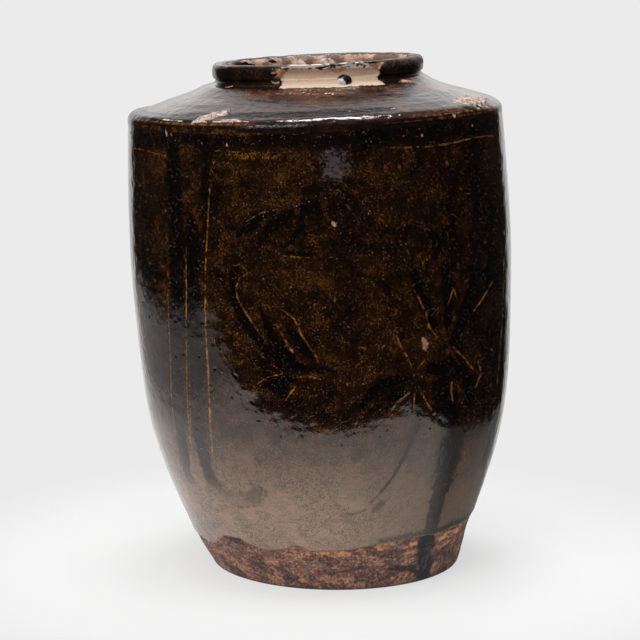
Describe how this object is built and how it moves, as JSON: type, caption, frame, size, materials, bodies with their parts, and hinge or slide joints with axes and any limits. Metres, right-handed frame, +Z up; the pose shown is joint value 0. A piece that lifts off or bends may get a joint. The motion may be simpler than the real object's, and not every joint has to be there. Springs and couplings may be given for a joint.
{
  "type": "martaban jar",
  "caption": "Tall shouldered stoneware storage jar with a bare flared foot, dark glaze, a sharp shoulder edge, a short neck and a rolled rim.",
  "frame": {"origin": "centre of the flat foot, on the floor", "axes": "+Z up, +X to the right of the broken front of the lip, -Y out of the front; the body's own axis leans 2.46 degrees from +Z towards -X"},
  "size_m": [0.3458, 0.344, 0.4626],
  "materials": {
    "foot_clay": "bare fired clay, terracotta with grey and brown stains",
    "buff_clay": "bare buff clay, bare where the lip is broken",
    "inner_clay": "bare fired clay, wiped",
    "wall_glaze": "glossy brown-black glaze, amber where thin",
    "shoulder_glaze": "glossy streaked brown glaze",
    "rim_glaze": "glossy near-black glaze",
    "kiln_crust": "rough pale kiln crust"
  },
  "bodies": {
    "root": {"base_slab": "foot_clay", "foot_wall": "foot_clay", "lower_wall": "buff_clay", "upper_wall": "buff_clay", "shoulder": "buff_clay", "neck_collar": "buff_clay", "rim_roll": "buff_clay", "base_coil": "inner_clay", "lower_seam_coil": "inner_clay", "belly_seam_coil": "inner_clay", "shoulder_coil": "inner_clay", "neck_coil": "inner_clay", "wall_glaze": "wall_glaze", "shoulder_glaze": "shoulder_glaze", "collar_glaze": "rim_glaze", "glaze_run": "rim_glaze", "glaze_bead": "rim_glaze", "left_wad_crust": "kiln_crust", "right_wad_crust": "kiln_crust"}
  },
  "joints": []
}
